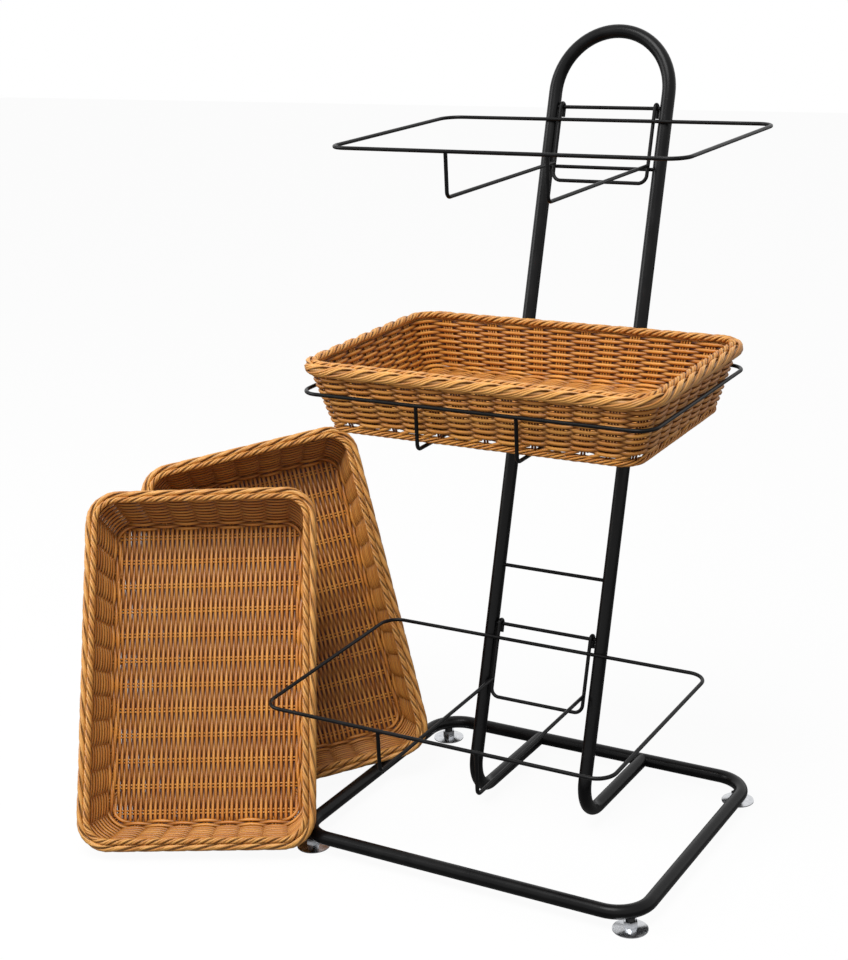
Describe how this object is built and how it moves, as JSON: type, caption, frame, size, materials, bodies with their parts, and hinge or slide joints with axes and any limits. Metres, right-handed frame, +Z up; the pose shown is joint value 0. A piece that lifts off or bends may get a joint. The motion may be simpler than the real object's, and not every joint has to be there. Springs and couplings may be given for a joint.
{
  "type": "bread rack",
  "caption": "Leaning tube mast on a flat tube base with wire ring holders hooked on cross bars, and shallow rectangular woven baskets for bread",
  "frame": {"origin": "on the floor, under the middle of the whole set's bounding box", "axes": "+X to the rack's right seen from the front, +Y to the rear, +Z up"},
  "size_m": [1.0549, 0.8069, 1.2715],
  "materials": {
    "rack_frame": "black satin powder coat on steel tube and wire",
    "holder_wire": "black satin powder coat on steel wire",
    "cane_weave": "honey-tan woven synthetic cane",
    "cane_rim": "honey-tan plaited synthetic cane",
    "bush": "black moulded threaded bush",
    "glide": "bright plated steel"
  },
  "bodies": {
    "rack": {"base_loop": "rack_frame", "bush_front_left": "bush", "bush_front_right": "bush", "bush_rear_left": "bush", "bush_rear_right": "bush", "lower_hook_bar": "rack_frame", "lower_leg_left": "rack_frame", "lower_leg_right": "rack_frame", "lower_second_bar": "rack_frame", "middle_hook_bar": "rack_frame", "middle_second_bar": "rack_frame", "top_arch": "rack_frame", "upper_hook_bar": "rack_frame", "upper_second_bar": "rack_frame"},
    "upper_holder": {"upper_ring": "holder_wire", "upper_hook_frame": "holder_wire", "upper_arm_left": "holder_wire", "upper_arm_right": "holder_wire"},
    "middle_holder": {"middle_ring": "holder_wire", "middle_hook_frame": "holder_wire", "middle_arm_left": "holder_wire", "middle_arm_right": "holder_wire"},
    "lower_holder": {"lower_ring": "holder_wire", "lower_hook_frame": "holder_wire", "lower_arm_left": "holder_wire", "lower_arm_right": "holder_wire"},
    "middle_basket": {"middle_basket_wall": "cane_weave", "middle_basket_floor": "cane_weave", "middle_basket_rim": "cane_rim", "middle_basket_foot_rope": "cane_rim"},
    "front_basket": {"front_basket_wall": "cane_weave", "front_basket_floor": "cane_weave", "front_basket_rim": "cane_rim", "front_basket_foot_rope": "cane_rim"},
    "rear_basket": {"rear_basket_wall": "cane_weave", "rear_basket_floor": "cane_weave", "rear_basket_rim": "cane_rim", "rear_basket_foot_rope": "cane_rim"},
    "glide_front_left": {"glide_front_left_disc": "glide", "glide_front_left_hex": "glide", "glide_front_left_stud": "glide"},
    "glide_front_right": {"glide_front_right_disc": "glide", "glide_front_right_hex": "glide", "glide_front_right_stud": "glide"},
    "glide_rear_left": {"glide_rear_left_disc": "glide", "glide_rear_left_hex": "glide", "glide_rear_left_stud": "glide"},
    "glide_rear_right": {"glide_rear_right_disc": "glide", "glide_rear_right_hex": "glide", "glide_rear_right_stud": "glide"}
  },
  "joints": [
    {"name": "upper_holder_swing", "type": "hinge", "parent": "rack", "child": "upper_holder", "pos_m": [0.2206, 0.35399, 1.14151], "axis": [-1, 0, 0], "range_deg": [0, 75]},
    {"name": "middle_holder_lift", "type": "slide", "parent": "rack", "child": "middle_holder", "axis": [0, 0.2924, 0.9563], "range_m": [0, 0.02]},
    {"name": "lower_holder_swing", "type": "hinge", "parent": "rack", "child": "lower_holder", "pos_m": [0.2206, 0.10197, 0.31718], "axis": [-1, 0, 0], "range_deg": [0, 55]},
    {"name": "middle_basket_lift", "type": "slide", "parent": "middle_holder", "child": "middle_basket", "axis": [0, -0.0262, 0.9997], "range_m": [0, 0.12]},
    {"name": "front_basket_move", "type": "slide", "parent": "rack", "child": "front_basket", "axis": [-0.7071, -0.7071, 0], "range_m": [0, 0.12]},
    {"name": "rear_basket_move", "type": "slide", "parent": "rack", "child": "rear_basket", "axis": [-1, 0, 0], "range_m": [0, 0.12]},
    {"name": "glide_front_left_turn", "type": "hinge", "parent": "rack", "child": "glide_front_left", "pos_m": [-0.06039, -0.19572, 0.005], "axis": [0, 0, 1], "continuous": true},
    {"name": "glide_front_right_turn", "type": "hinge", "parent": "rack", "child": "glide_front_right", "pos_m": [0.50039, -0.19572, 0.005], "axis": [0, 0, 1], "continuous": true},
    {"name": "glide_rear_left_turn", "type": "hinge", "parent": "rack", "child": "glide_rear_left", "pos_m": [-0.06039, 0.26006, 0.005], "axis": [0, 0, 1], "continuous": true},
    {"name": "glide_rear_right_turn", "type": "hinge", "parent": "rack", "child": "glide_rear_right", "pos_m": [0.50039, 0.26006, 0.005], "axis": [0, 0, 1], "continuous": true}
  ]
}
